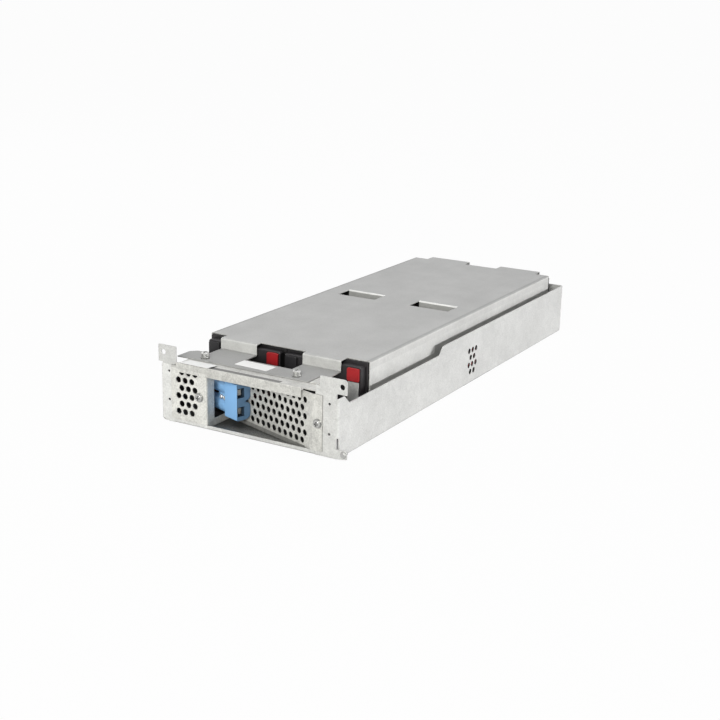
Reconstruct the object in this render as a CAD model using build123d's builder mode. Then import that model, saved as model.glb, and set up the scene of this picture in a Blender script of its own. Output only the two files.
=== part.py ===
from build123d import *
import os

# UPS battery cartridge: eight sealed batteries in a folded steel tray under a folded cover.
# The front is a perforated bracket with a slanted recess that holds a two-pole power connector.
# Millimetres: +X to the right seen from the front, +Y to the rear, +Z up.
# The origin is the middle of the tray's underside.

os.makedirs("parts", exist_ok=True)

# Sheet metal
TRAY_SHEET = 1.2
COVER_SHEET = 1.0
FRONT_SHEET = 1.0
BEND = 1.5                  # bend radius at the middle of a sheet
HEM_BEND = 0.55             # the same where a sheet is folded back on itself
FIT = 0.2                   # gap where one piece slides past another
CUT = 6.0                   # how far a cutting tool reaches past what it cuts

# Batteries, lying with their terminals at the two ends of the tray and in the middle gap
BATTERY_WIDTH = 90.0
BATTERY_HEIGHT = 70.0
BATTERY_LENGTH = 101.0
BATTERY_EDGE = 1.2
BATTERY_COVER = 8.0
COVER_INSET = 2.4           # how far a battery's cover stands in from the sides of its container
COVER_INSET_TOP = 3.2
VENT_STRIP = (46.0, 16.0, 0.8)
CAP_SIZE = (12.8, 12.8, 2.0)
CAP_EDGE = 1.0
CAP_FROM_SIDE = 10.3
CAP_FROM_TOP = 10.9
COLUMN_GAP = 0.8
ROW_GAP = 0.4
MIDDLE_GAP = 54.0
FRONT_ROOM = 64.0
REAR_ROOM = 10.2

# Tray; a RISE is a height above the top of the side walls
TRAY_GAP_LEFT = 4.3         # between the cover's side and the side wall
TRAY_GAP_RIGHT = 9.3
WALL_BELOW_LID = 15.0
WALL_CUT = (10.9, 207.3)    # start and end of the lower stretch of the side walls, from the front
WALL_CUT_DEPTH = 8.1
LIP_HEIGHT = 4.3
FLANGE_REACH = 24.5
FLANGE_REACH_LEFT = 16.5
FLANGE_FOOT = 0.4
FLANGE_BEVEL = (9.0, 2.8)   # width and height of the bevel at the foot of the left flange
SHOULDER_RISE = 9.6
EAR_RISE = 19.1
EAR_FOOT_RISE = 4.8
EAR_FOOT_RISE_LEFT = 2.2
EAR_WIDTH = 28.1
EAR_PROUD = 8.4
EAR_CORNER = 3.5
EAR_WIDTH_LEFT = 21.1
EAR_PROUD_LEFT = 2.7
EAR_CORNER_LEFT = 0.8
EAR_HOLE = 5.4
EAR_HOLE_RISE = 11.9
EAR_HOLE_INSET = 4.9
EAR_HOLE_INSET_LEFT = 5.9
PILOT_HOLE = 2.6
PILOT_INSET = 9.6
PILOT_DROP = 6.1            # of the upper pilot holes, below the top of the walls
PILOT_LOW = 22.6
SLIT_HEAD = 20.0            # below it the right flange is not bent to the wall
LUG_OUT = 9.2
LUG_FOOT = 1.7
LUG_HEAD = 9.8
LUG_CORNER = 3.0
STUD_OUT = 5.9
STUD_Z = 6.0
STUD_HEAD = (6.0, 1.6)
STUD_SHANK = 3.4
STOP_WIDTH = 12.0
STOP_BELOW_CAP = 0.9

# Vents: round holes in staggered rows
VENT_HOLE = 6.3
VENT_SIDES = 10
VENT_ROW = 7.9
VENT_LEAN = 1.9             # alternate rows of equal length move this far either way
WALL_VENT_COUNTS = (2, 3, 2, 3)
WALL_VENT_PITCH = 8.3
WALL_VENT_AHEAD = 15.4      # of the middle of the gap between the second and third rows
WALL_VENT_Z = 25.0
FACE_VENT_COUNTS = (3, 3, 3, 3, 3, 3)
FACE_VENT_PITCH = 7.85
FACE_VENT_INSET = 31.2      # from the tray's left side
FACE_VENT_Z = 33.0
PANEL_VENT_COUNTS = (10, 10, 10, 10, 10, 10)
PANEL_VENT_PITCH = 8.3
PANEL_VENT_SETBACK = 49.8
PANEL_VENT_Z = 30.1

# Cover
COVER_SIDE_GAP = 0.6
COVER_END_GAP = 1.0
COVER_REAR_GAP = 5.8        # between the rear flanges and the tray's rear wall
SKIRT_DROP = 32.4
STAIR_DROP = 11.2
PLATE_FRONT = 18.6
PLATE_RIGHT = 58.2
PLATE_NOTCH = 18.3
PLATE_CLIP = 6.0
NOTCH_CORNER = 12.0
NOTCH_CENTRE = 8.0
NOTCH_REAR = 16.0
FRONT_TAB_GAPS = (9.5, 4.4)  # from a cap to the inner and outer end of a front flange
FRONT_TAB_SHIFT = -2.3      # the front flanges sit left of the cover's middle
REAR_TAB_GAPS = (4.7, 0.0)
WINDOW = (48.0, 26.0)
WINDOW_SHIFT = -1.5         # from the middle of a column of batteries
WINDOW_AHEAD = 10.4         # of the third row of batteries
WINDOW_TAB = 24.0

# Front rail, an angle whose hemmed leg hangs as a bar across the recess
BAR_DROP = 7.4
BAR_RISE = 1.8
BAR_INSET = 39.0            # its right end, from the tray's right side
RAIL_INSET_LEFT = 19.0
RAIL_INSET_RIGHT = 26.5
RAIL_REAR = 42.0
RAIL_NICK = 4.0             # how far the rail's right end is cut back
PAD_GAP = 1.6               # between the cover's plate and the pad at its right end
PAD_INSET = 31.5

# Vent bracket; an INSET is from the tray's side
BRACKET_INSET_LEFT = 13.0
BRACKET_INSET_RIGHT = 16.6
BRACKET_BELOW_RAIL = 1.0
RECESS_INSET_LEFT = 54.3
RECESS_INSET_RIGHT = 27.0
RECESS_DEPTH = 38.0
WINDOW_START = 11.0         # the connector's window in the return wall, from the front
WINDOW_Z = (8.5, 47.0)
SCREW_TAB = 19.0
SCREW_TAB_REAR = 5.0        # how far the screw tabs run on behind their screws
TRAY_TAB = (8.6, 40.0)      # width and head of the tray's tab behind the left screw

# Connector, lying against the slanted panel with its mating face to the right
CONNECTOR_SETBACK = 92.0
CONNECTOR_Z = 27.8
HOUSING = (19.5, 36.0, 16.0)
HOUSING_EDGE = 1.2
LOBE_DEPTH = 8.0
LOBE_WIDTH = 16.6
LOBE_CORNER = 5.0
POLE_PITCH = 18.6
BARREL = 14.8
BARREL_LENGTH = 28.0
WEB = (9.0, 9.0)
CAVITY = (8.0, 9.4, 18.0)
CAVITY_OUT = 11.2
CONTACT = (5.0, 6.0)
CONTACT_SETBACK = 3.0
CONNECTOR_SCREWS = (3.6, 9.2)
CONNECTOR_SCREW_DROP = 1.0

# Screws: head diameter, head height, shank diameter, drive slot width
COVER_SCREW = (9.0, 6.0, 3.9, 1.4)
BRACKET_SCREW = (9.0, 2.8, 3.4, 1.2)
CONNECTOR_SCREW = (4.6, 1.8, 2.4, 0.8)
COVER_SCREW_X = (-65.0, 40.2)
COVER_SCREW_Y = 27.5
BRACKET_SCREW_OUT = (8.1, 5.6)  # from the recess's left and right edge
BRACKET_SCREW_Z = 31.0
SCREW_END = 4.0
SCREW_SIDES = 12

# Leads
LEAD = 6.5
LEAD_BEND = 5.8
LEAD_SIDES = 8
LEAD_TURN = 13.0            # where the leads turn back, from the tray's left side
LEAD_AHEAD = 9.0            # their run across the tray, ahead of the batteries
POSITIVE_LEVELS = (29.0, 20.0)
NEGATIVE_LEVELS = (13.0, 9.0)
JUMPER = 5.0
JUMPER_BEND = 8.0
JUMPER_KNEE = 36.0
JUMPER_FOOT = 17.0
JUMPER_OUT = (16.0, 12.0)   # how far its loop stands out from the knee, across and along the tray

# Worked out from the sizes above
row_pair = 2 * BATTERY_LENGTH + ROW_GAP
row_starts = (
    FRONT_ROOM,
    FRONT_ROOM + BATTERY_LENGTH + ROW_GAP,
    FRONT_ROOM + row_pair + MIDDLE_GAP,
    FRONT_ROOM + row_pair + MIDDLE_GAP + BATTERY_LENGTH + ROW_GAP,
)
tray_depth = row_starts[3] + BATTERY_LENGTH + REAR_ROOM
front = -tray_depth / 2
battery_head = TRAY_SHEET + BATTERY_HEIGHT
lid_top = battery_head + FIT + COVER_SHEET
lid_mid = lid_top - COVER_SHEET / 2
plate_top = lid_top - STAIR_DROP
plate_mid = plate_top - COVER_SHEET / 2
rail_top = plate_top - COVER_SHEET
rail_mid = rail_top - FRONT_SHEET / 2
bar_foot = rail_top - BAR_DROP
bar_head = rail_top + BAR_RISE
tab_mid = rail_top - 1.5 * FRONT_SHEET
bracket_head = rail_top - FRONT_SHEET - BRACKET_BELOW_RAIL
wall_height = lid_top - WALL_BELOW_LID
ear_top = wall_height + EAR_RISE
skirt_foot = lid_top - SKIRT_DROP
cover_half = BATTERY_WIDTH + COLUMN_GAP / 2 + COVER_SIDE_GAP + COVER_SHEET
cover_mid = (TRAY_GAP_LEFT - TRAY_GAP_RIGHT) / 2
cover_front = FRONT_ROOM - COVER_END_GAP - COVER_SHEET
cover_rear = tray_depth - TRAY_SHEET - COVER_REAR_GAP
half = cover_half + (TRAY_GAP_LEFT + TRAY_GAP_RIGHT) / 2 + TRAY_SHEET
column_out = (BATTERY_WIDTH + COLUMN_GAP) / 2
cap_out = BATTERY_WIDTH / 2 - CAP_FROM_SIDE
cap_z = battery_head - CAP_FROM_TOP
cap_foot = cap_z - CAP_SIZE[1] / 2
cap_inner = column_out - cap_out + CAP_SIZE[0] / 2
cap_outer = column_out + cap_out - CAP_SIZE[0] / 2
front_tab = (cap_inner + FRONT_TAB_GAPS[0], cap_outer - FRONT_TAB_GAPS[1])
rear_tab = (cap_inner + REAR_TAB_GAPS[0], cap_outer - REAR_TAB_GAPS[1])
bracket_left = BRACKET_INSET_LEFT - half
bracket_right = half - BRACKET_INSET_RIGHT
recess_left = RECESS_INSET_LEFT - half
recess_right = half - RECESS_INSET_RIGHT
rail_left = RAIL_INSET_LEFT - half
rail_right = half - RAIL_INSET_RIGHT
bracket_mid = -FRONT_SHEET / 2
bar_mid = -1.5 * FRONT_SHEET
hem_mid = bar_mid + FRONT_SHEET + FIT


def back(distance):
    """Y of a point that lies this far behind the tray's front."""
    return front + distance


def facing_front(distance, x=0.0):
    """Upright plane across the tray: its X is the part's X, its Y is the part's Z."""
    return Plane(origin=(x, back(distance), 0), x_dir=(1, 0, 0), z_dir=(0, -1, 0))


def facing_right(x):
    """Upright plane along the tray: its X is the part's Y, its Y is the part's Z."""
    return Plane(origin=(x, 0, 0), x_dir=(0, 1, 0), z_dir=(1, 0, 0))


def span(x_range, y_range):
    """Rectangle between two values of each axis of the sketch."""
    with Locations(((x_range[0] + x_range[1]) / 2, (y_range[0] + y_range[1]) / 2)):
        Rectangle(abs(x_range[1] - x_range[0]), abs(y_range[1] - y_range[0]))


def vents(counts, centre, pitch, lean=0.0):
    """Staggered vent holes, row by row from the lowest."""
    points = []
    for level, count in enumerate(counts):
        slide = lean if level % 2 else -lean
        for place in range(count):
            across = centre[0] + slide + (place - (count - 1) / 2) * pitch
            points.append((across, centre[1] + (level - (len(counts) - 1) / 2) * VENT_ROW))
    with Locations(*points):
        RegularPolygon(VENT_HOLE / 2, VENT_SIDES)


def folded(points, sheet, radius=BEND):
    """Section of a folded sheet whose middle runs through the points."""
    with BuildLine() as run:
        FilletPolyline(*points, radius=radius)
    trace(run.line, line_width=sheet)


def outline(points):
    """Flat blank whose corners are the points."""
    with BuildLine() as edge:
        Polyline(*points, close=True)
    make_face(edge.edges())


def pan_screws(plane, points, size, grip):
    """Washer-head screws that sit on the plane at the points."""
    head, height, shank, slot = size
    outward = Axis((0, 0, 0), plane.z_dir)
    with BuildSketch(plane) as heads:
        with Locations(*points):
            RegularPolygon(head * 0.43, SCREW_SIDES)
    extrude(heads.sketch, amount=height)
    chamfer(edges().group_by(outward)[-1], head / 10)
    with BuildSketch(plane) as washers:
        with Locations(*points):
            RegularPolygon(head / 2, SCREW_SIDES)
    extrude(washers.sketch, amount=height / 4)
    with BuildSketch(plane.offset(height)) as drives:
        with Locations(*points):
            Rectangle(head * 0.5, slot)
            Rectangle(slot, head * 0.5)
    extrude(drives.sketch, amount=-height / 3, mode=Mode.SUBTRACT)
    with BuildSketch(plane) as shanks:
        with Locations(*points):
            RegularPolygon(shank / 2, SCREW_SIDES)
    extrude(shanks.sketch, amount=-grip)


def lead_along(points, diameter, radius):
    """Lead that follows straight runs joined by arcs."""
    with BuildLine() as route:
        FilletPolyline(*points, radius=radius)
    with BuildSketch(Plane(origin=route.line @ 0, z_dir=route.line % 0)) as section:
        RegularPolygon(diameter / 2, LEAD_SIDES)
    sweep(section.sketch, path=route.line)


def keep(piece, name):
    """Name a finished piece and write it out."""
    piece.part.label = name
    export_step(piece.part, f"parts/{name}.step")


# Where the slanted panel lies: X along it to the front bend, Y up, Z out of its front
panel_run = recess_right - recess_left
panel_rise = RECESS_DEPTH - bracket_mid
panel_plane = Plane(
    origin=(recess_right, back(bracket_mid), 0),
    x_dir=(panel_run, -panel_rise, 0),
    z_dir=(-panel_rise, -panel_run, 0),
)
cover_screws_xy = [(cover_mid + x, back(COVER_SCREW_Y)) for x in COVER_SCREW_X]
bracket_screws_xz = [
    (recess_left - BRACKET_SCREW_OUT[0], BRACKET_SCREW_Z),
    (recess_right + BRACKET_SCREW_OUT[1], BRACKET_SCREW_Z),
]

# Tray: floor, walls, front lip, flanges with ears, lug, battery stops
wall_mid = half - TRAY_SHEET / 2
floor_mid = TRAY_SHEET / 2
bend_out = BEND + TRAY_SHEET / 2
flat_half = half - bend_out
flange_mid = back(TRAY_SHEET / 2)
flange_lap = back(2 * bend_out)
flange_left = FLANGE_REACH_LEFT - half
flange_right = half - FLANGE_REACH
stop_mid = FRONT_ROOM - FIT - TRAY_SHEET / 2
stop_head = cap_foot - STOP_BELOW_CAP
gap_mid = row_starts[2] - MIDDLE_GAP / 2
with BuildPart() as tray:
    with BuildSketch(facing_front(bend_out)):
        folded(
            (
                (-wall_mid, wall_height),
                (-wall_mid, floor_mid),
                (wall_mid, floor_mid),
                (wall_mid, wall_height),
            ),
            TRAY_SHEET,
        )
    extrude(amount=-(tray_depth - 2 * bend_out))
    # The side walls are lower along the first rows of batteries
    with BuildSketch(facing_right(0)):
        outline(
            (
                (back(WALL_CUT[0] - CUT), wall_height + CUT),
                (back(WALL_CUT[0] + WALL_CUT_DEPTH), wall_height - WALL_CUT_DEPTH),
                (back(WALL_CUT[1] - WALL_CUT_DEPTH), wall_height - WALL_CUT_DEPTH),
                (back(WALL_CUT[1] + CUT), wall_height + CUT),
            )
        )
    extrude(amount=2 * half, both=True, mode=Mode.SUBTRACT)
    with BuildSketch(facing_right(0)):
        vents(WALL_VENT_COUNTS, (back(gap_mid - WALL_VENT_AHEAD), WALL_VENT_Z), WALL_VENT_PITCH)
    extrude(amount=2 * half, both=True, mode=Mode.SUBTRACT)
    # Rear wall
    with BuildSketch(facing_right(-flat_half)):
        rear_lap = back(tray_depth - 2 * bend_out)
        rear_mid = back(tray_depth - TRAY_SHEET / 2)
        folded(((rear_lap, floor_mid), (rear_mid, floor_mid), (rear_mid, wall_height)), TRAY_SHEET)
    extrude(amount=2 * flat_half)
    # Front lip between the flanges, and the tab that stands on it behind the bracket's left screw
    with BuildSketch(facing_right(flange_left + FIT)):
        folded(((flange_lap, floor_mid), (flange_mid, floor_mid), (flange_mid, LIP_HEIGHT)), TRAY_SHEET)
    extrude(amount=flange_right - flange_left - 2 * FIT)
    with BuildSketch(facing_front(0)):
        tab_left = bracket_screws_xz[0][0] - TRAY_TAB[0] / 4
        span((tab_left, tab_left + TRAY_TAB[0]), (bend_out, TRAY_TAB[1]))
    extrude(amount=-TRAY_SHEET)
    # Right flange: bent in above the slit, flat below it with the lug, an ear on top
    with BuildSketch(Plane.XY.offset(SLIT_HEAD)):
        folded(((wall_mid, flange_lap), (wall_mid, flange_mid), (flange_right, flange_mid)), TRAY_SHEET)
    extrude(amount=wall_height - SLIT_HEAD)
    ear_right = half + EAR_PROUD
    with BuildSketch(facing_front(0)):
        outline(
            (
                (flange_right, FLANGE_FOOT),
                (flange_right, wall_height + SHOULDER_RISE),
                (ear_right - EAR_WIDTH, wall_height + SHOULDER_RISE),
                (ear_right - EAR_WIDTH, ear_top),
                (ear_right, ear_top),
                (ear_right, wall_height + EAR_FOOT_RISE),
                (flat_half, wall_height + EAR_FOOT_RISE),
                (flat_half, LUG_HEAD),
                (half + LUG_OUT, LUG_HEAD),
                (half + LUG_OUT, LUG_FOOT),
                (flat_half, FLANGE_FOOT),
            )
        )
        fillet(vertices().group_by(Axis.Y)[-1].sort_by(Axis.X)[-1], EAR_CORNER)
        fillet(vertices().group_by(Axis.X)[-1].sort_by(Axis.Y)[-1], LUG_CORNER)
    extrude(amount=-TRAY_SHEET)
    # Left flange, beveled at its foot, and its ear
    with BuildSketch(Plane.XY.offset(FLANGE_BEVEL[1])):
        folded(((-wall_mid, flange_lap), (-wall_mid, flange_mid), (flange_left, flange_mid)), TRAY_SHEET)
    extrude(amount=wall_height - FLANGE_BEVEL[1])
    ear_left = -half - EAR_PROUD_LEFT
    ear_left_foot = wall_height + EAR_FOOT_RISE_LEFT
    with BuildSketch(facing_front(0)):
        span((ear_left, ear_left + EAR_WIDTH_LEFT), (ear_left_foot, ear_top))
        fillet(vertices().group_by(Axis.Y)[-1], EAR_CORNER_LEFT)
        outline(
            (
                (-flat_half, ear_left_foot),
                (-flat_half, FLANGE_BEVEL[1]),
                (FLANGE_BEVEL[0] - half, FLANGE_FOOT),
                (flange_left, FLANGE_FOOT),
                (flange_left, ear_left_foot),
            )
        )
    extrude(amount=-TRAY_SHEET)
    # Battery stops, cut out of the floor behind them and bent up
    for side in (-1, 1):
        stop_x = cover_mid + side * (column_out + cap_out)
        with BuildSketch(Plane.XY):
            span(
                (stop_x - STOP_WIDTH / 2 - TRAY_SHEET, stop_x + STOP_WIDTH / 2 + TRAY_SHEET),
                (back(stop_mid - BEND), back(stop_mid + stop_head)),
            )
        extrude(amount=TRAY_SHEET, mode=Mode.SUBTRACT)
        with BuildSketch(facing_right(stop_x - STOP_WIDTH / 2)):
            stop_y = back(stop_mid)
            folded(((back(stop_mid - CUT), floor_mid), (stop_y, floor_mid), (stop_y, stop_head)), TRAY_SHEET)
        extrude(amount=STOP_WIDTH)
    # Holes in the flanges, ears and lug
    ear_hole_z = wall_height + EAR_HOLE_RISE
    ear_holes = ((ear_right - EAR_HOLE_INSET, ear_hole_z), (ear_left + EAR_HOLE_INSET_LEFT, ear_hole_z))
    pilot_levels = (wall_height - PILOT_DROP, PILOT_LOW)
    with BuildSketch(facing_front(0)):
        with Locations(*ear_holes):
            Circle(EAR_HOLE / 2)
        with Locations(*[(side * (half - PILOT_INSET), z) for side in (-1, 1) for z in pilot_levels]):
            Circle(PILOT_HOLE / 2)
        with Locations(*bracket_screws_xz):
            Circle(BRACKET_SCREW[2] / 2 + FIT)
        with Locations((half + STUD_OUT, STUD_Z)):
            Circle(STUD_SHANK / 2)
    extrude(amount=-TRAY_SHEET, mode=Mode.SUBTRACT)
keep(tray, "tray")

# Cover: lid with side flanges, stepped front with the plate, rear flanges
corner_front = cover_front + NOTCH_CORNER
corner_rear = cover_rear - NOTCH_REAR
front_tabs_mid = cover_mid + FRONT_TAB_SHIFT
with BuildPart() as cover:
    skirt_mid = cover_half - COVER_SHEET / 2
    with BuildSketch(facing_front(corner_front, cover_mid)):
        folded(
            ((-skirt_mid, skirt_foot), (-skirt_mid, lid_mid), (skirt_mid, lid_mid), (skirt_mid, skirt_foot)),
            COVER_SHEET,
        )
    extrude(amount=-(corner_rear - corner_front))
    with BuildSketch(facing_right(front_tabs_mid)):
        step_mid = back(cover_front + COVER_SHEET / 2)
        folded(
            (
                (back(corner_front + CUT), lid_mid),
                (step_mid, lid_mid),
                (step_mid, plate_mid),
                (back(PLATE_FRONT), plate_mid),
            ),
            COVER_SHEET,
        )
    extrude(amount=front_tab[1], both=True)
    with BuildSketch(facing_right(cover_mid)):
        end_lap = back(corner_rear - CUT)
        end_mid = back(cover_rear - COVER_SHEET / 2)
        folded(((end_lap, lid_mid), (end_mid, lid_mid), (end_mid, plate_top - COVER_SHEET)), COVER_SHEET)
    extrude(amount=rear_tab[1], both=True)
    # The plate runs to the left corner, which is clipped, and stops short on the right
    plate_rear = cover_front - PLATE_NOTCH
    plate_left = cover_mid - cover_half
    with BuildSketch(Plane.XY.offset(plate_top)):
        outline(
            (
                (plate_left, back(PLATE_FRONT)),
                (plate_left, back(plate_rear - PLATE_CLIP)),
                (plate_left + PLATE_CLIP, back(plate_rear)),
                (cover_mid, back(plate_rear)),
                (cover_mid, back(PLATE_FRONT)),
            )
        )
    extrude(amount=-COVER_SHEET)
    with BuildSketch(Plane.XY.offset(plate_top)):
        span((cover_mid + PLATE_RIGHT, cover_mid + cover_half), (back(PLATE_FRONT - CUT), back(plate_rear)))
    extrude(amount=-COVER_SHEET, mode=Mode.SUBTRACT)
    # Notches over the terminals at the front and rear
    with BuildSketch(Plane.XY.offset(lid_top)):
        span(
            (front_tabs_mid - front_tab[0], front_tabs_mid + front_tab[0]),
            (back(plate_rear), back(cover_front + NOTCH_CENTRE)),
        )
        span(
            (cover_mid - rear_tab[0], cover_mid + rear_tab[0]),
            (back(corner_rear), back(cover_rear + CUT)),
        )
    extrude(amount=-(lid_top - skirt_foot), mode=Mode.SUBTRACT)
    # Windows over the middle gap, each with its tab bent down
    window_rear = row_starts[2] - WINDOW_AHEAD
    for side in (-1, 1):
        window_x = cover_mid + side * column_out + WINDOW_SHIFT
        tab_y = back(window_rear - COVER_SHEET / 2)
        with BuildSketch(Plane.XY.offset(lid_top)):
            span(
                (window_x - WINDOW[0] / 2, window_x + WINDOW[0] / 2),
                (back(window_rear - WINDOW[1]), back(window_rear) + BEND),
            )
        extrude(amount=-COVER_SHEET, mode=Mode.SUBTRACT)
        with BuildSketch(facing_right(window_x)):
            folded(
                ((back(window_rear + CUT), lid_mid), (tab_y, lid_mid), (tab_y, lid_mid - WINDOW_TAB)),
                COVER_SHEET,
            )
        extrude(amount=WINDOW[0] / 2, both=True)
    with BuildSketch(Plane.XY.offset(plate_top)):
        with Locations(*cover_screws_xy):
            Circle(COVER_SCREW[2] / 2 + FIT)
    extrude(amount=-COVER_SHEET, mode=Mode.SUBTRACT)
keep(cover, "cover")

# Front rail: the bar is hemmed along its head, and a pad lies level with the cover's plate
with BuildPart() as front_rail:
    with BuildSketch(facing_right(rail_left)):
        folded(
            (
                (back(bar_mid), bar_foot),
                (back(bar_mid), bar_head - FRONT_SHEET / 2),
                (back(hem_mid), bar_head - FRONT_SHEET / 2),
                (back(hem_mid), rail_mid),
                (back(RAIL_REAR), rail_mid),
            ),
            FRONT_SHEET,
            HEM_BEND,
        )
    extrude(amount=rail_right - rail_left)
    with BuildSketch(facing_front(RAIL_NICK)):
        span((half - BAR_INSET, rail_right), (bar_foot, bar_head))
    extrude(amount=RAIL_NICK + CUT, mode=Mode.SUBTRACT)
    with BuildSketch(Plane.XY.offset(rail_top)):
        span((cover_mid + PLATE_RIGHT + PAD_GAP, half - PAD_INSET), (back(PLATE_FRONT), back(RAIL_REAR)))
    extrude(amount=COVER_SHEET)
    with BuildSketch(Plane.XY.offset(rail_top)):
        with Locations(*cover_screws_xy):
            Circle(COVER_SCREW[2] / 2 + FIT)
    extrude(amount=-FRONT_SHEET, mode=Mode.SUBTRACT)
keep(front_rail, "front_rail")

# Vent bracket
bracket_foot = TRAY_SHEET + FIT
with BuildPart() as vent_bracket:
    with BuildSketch(Plane.XY.offset(bracket_foot)):
        folded(
            (
                (bracket_left, back(bracket_mid)),
                (recess_left, back(bracket_mid)),
                (recess_left, back(RECESS_DEPTH)),
                (recess_right, back(bracket_mid)),
                (bracket_right, back(bracket_mid)),
            ),
            FRONT_SHEET,
        )
    extrude(amount=bracket_head - bracket_foot)
    # Clear of the tray's lip, and of the connector where it passes the return wall
    with BuildSketch(facing_front(bend_out + FIT)):
        span((bracket_left, bracket_right), (0, LIP_HEIGHT + FIT))
    extrude(amount=CUT, mode=Mode.SUBTRACT)
    with BuildSketch(Plane.XY.offset(WINDOW_Z[0])):
        span((recess_left - CUT, recess_left + BEND), (back(WINDOW_START), back(RECESS_DEPTH + CUT)))
    extrude(amount=WINDOW_Z[1] - WINDOW_Z[0], mode=Mode.SUBTRACT)
    with BuildSketch(facing_front(-FRONT_SHEET)):
        vents(FACE_VENT_COUNTS, (FACE_VENT_INSET - half, FACE_VENT_Z), FACE_VENT_PITCH, VENT_LEAN)
        with Locations(*bracket_screws_xz):
            Circle(BRACKET_SCREW[2] / 2 + FIT)
    extrude(amount=-FRONT_SHEET, mode=Mode.SUBTRACT)
    with BuildSketch(panel_plane.offset(FRONT_SHEET / 2)):
        vents(PANEL_VENT_COUNTS, (-PANEL_VENT_SETBACK, PANEL_VENT_Z), PANEL_VENT_PITCH, VENT_LEAN)
        screw_z = CONNECTOR_Z - CONNECTOR_SCREW_DROP
        with Locations(*[(-CONNECTOR_SETBACK - HOUSING[0] - x, screw_z) for x in CONNECTOR_SCREWS]):
            Circle(CONNECTOR_SCREW[2] / 2 + FIT)
    extrude(amount=-FRONT_SHEET, mode=Mode.SUBTRACT)
    # Screw tabs under the rail, one from the face and one from the panel
    with BuildSketch(facing_right(cover_screws_xy[0][0])):
        folded(
            (
                (back(bracket_mid), bracket_head - 2 * BEND),
                (back(bracket_mid), tab_mid),
                (back(COVER_SCREW_Y + SCREW_TAB_REAR), tab_mid),
            ),
            FRONT_SHEET,
        )
    extrude(amount=SCREW_TAB / 2, both=True)
    panel_screw = panel_plane.to_local_coords(Vector(*cover_screws_xy[1], 0))
    tab_plane = Plane(
        origin=panel_plane.from_local_coords((panel_screw.X, 0, 0)),
        x_dir=-panel_plane.z_dir,
        z_dir=panel_plane.x_dir,
    )
    with BuildSketch(tab_plane):
        tab_end = SCREW_TAB_REAR - panel_screw.Z
        folded(((0, bracket_head - 2 * BEND), (0, tab_mid), (tab_end, tab_mid)), FRONT_SHEET)
    extrude(amount=SCREW_TAB / 2, both=True)
    with BuildSketch(Plane.XY.offset(tab_mid + FRONT_SHEET / 2)):
        with Locations(*cover_screws_xy):
            Circle(COVER_SCREW[2] / 2 + FIT)
    extrude(amount=-FRONT_SHEET, mode=Mode.SUBTRACT)
keep(vent_bracket, "vent_bracket")

# Connector: X along the mating direction from the mating face, Y up from its middle, Z out of the panel
connector_plane = Plane(
    origin=panel_plane.from_local_coords((-CONNECTOR_SETBACK, CONNECTOR_Z, FRONT_SHEET / 2)),
    x_dir=panel_plane.x_dir,
    z_dir=panel_plane.z_dir,
)
# The mating face seen from the plug: X out of the panel, Y down
mating_plane = Plane(origin=connector_plane.origin, x_dir=panel_plane.z_dir, z_dir=panel_plane.x_dir)
pole_points = [(HOUSING[2] / 2, side * POLE_PITCH / 2) for side in (-1, 1)]
connector_screws_xy = [(-HOUSING[0] - x, -CONNECTOR_SCREW_DROP) for x in CONNECTOR_SCREWS]
with BuildPart() as connector_housing:
    with BuildSketch(mating_plane):
        span((LOBE_DEPTH - LOBE_CORNER / 2, HOUSING[2]), (-HOUSING[1] / 2, HOUSING[1] / 2))
        fillet(vertices(), HOUSING_EDGE)
        with Locations(*[(LOBE_DEPTH, y) for x, y in pole_points]):
            RectangleRounded(2 * LOBE_DEPTH, LOBE_WIDTH, LOBE_CORNER)
    extrude(amount=-HOUSING[0])
    with BuildSketch(mating_plane.offset(-HOUSING[0])):
        with Locations(*pole_points):
            Circle(BARREL / 2)
    extrude(amount=-BARREL_LENGTH)
    with BuildSketch(mating_plane.offset(-HOUSING[0])):
        with Locations((HOUSING[2] / 2, 0)):
            Rectangle(WEB[1], WEB[0])
    extrude(amount=-BARREL_LENGTH / 2)
    with BuildSketch(mating_plane):
        with Locations(*[(CAVITY_OUT, y) for x, y in pole_points]):
            Rectangle(CAVITY[0], CAVITY[1])
    extrude(amount=-CAVITY[2], mode=Mode.SUBTRACT)
    with BuildSketch(connector_plane):
        with Locations(*connector_screws_xy):
            Circle(CONNECTOR_SCREW[2] / 2 + FIT)
    extrude(amount=HOUSING[2], mode=Mode.SUBTRACT)
keep(connector_housing, "connector_housing")

with BuildPart() as connector_contacts:
    with BuildSketch(mating_plane.offset(-CAVITY[2])):
        with Locations(*[(CAVITY_OUT, y) for x, y in pole_points]):
            Rectangle(CONTACT[0], CONTACT[1])
    extrude(amount=CAVITY[2] - CONTACT_SETBACK)
keep(connector_contacts, "connector_contacts")

with BuildPart() as connector_screws:
    web_front = (HOUSING[2] + WEB[1]) / 2
    web_plane = connector_plane.offset(web_front)
    pan_screws(web_plane, connector_screws_xy, CONNECTOR_SCREW, web_front + FRONT_SHEET)
keep(connector_screws, "connector_screws")

# Screws and stud
with BuildPart() as cover_screws:
    cover_grip = COVER_SHEET + 2 * FRONT_SHEET + SCREW_END
    pan_screws(Plane.XY.offset(plate_top), cover_screws_xy, COVER_SCREW, cover_grip)
keep(cover_screws, "cover_screws")

with BuildPart() as bracket_screws:
    bracket_grip = FRONT_SHEET + TRAY_SHEET + SCREW_END
    pan_screws(facing_front(-FRONT_SHEET), bracket_screws_xz, BRACKET_SCREW, bracket_grip)
keep(bracket_screws, "bracket_screws")

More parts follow.
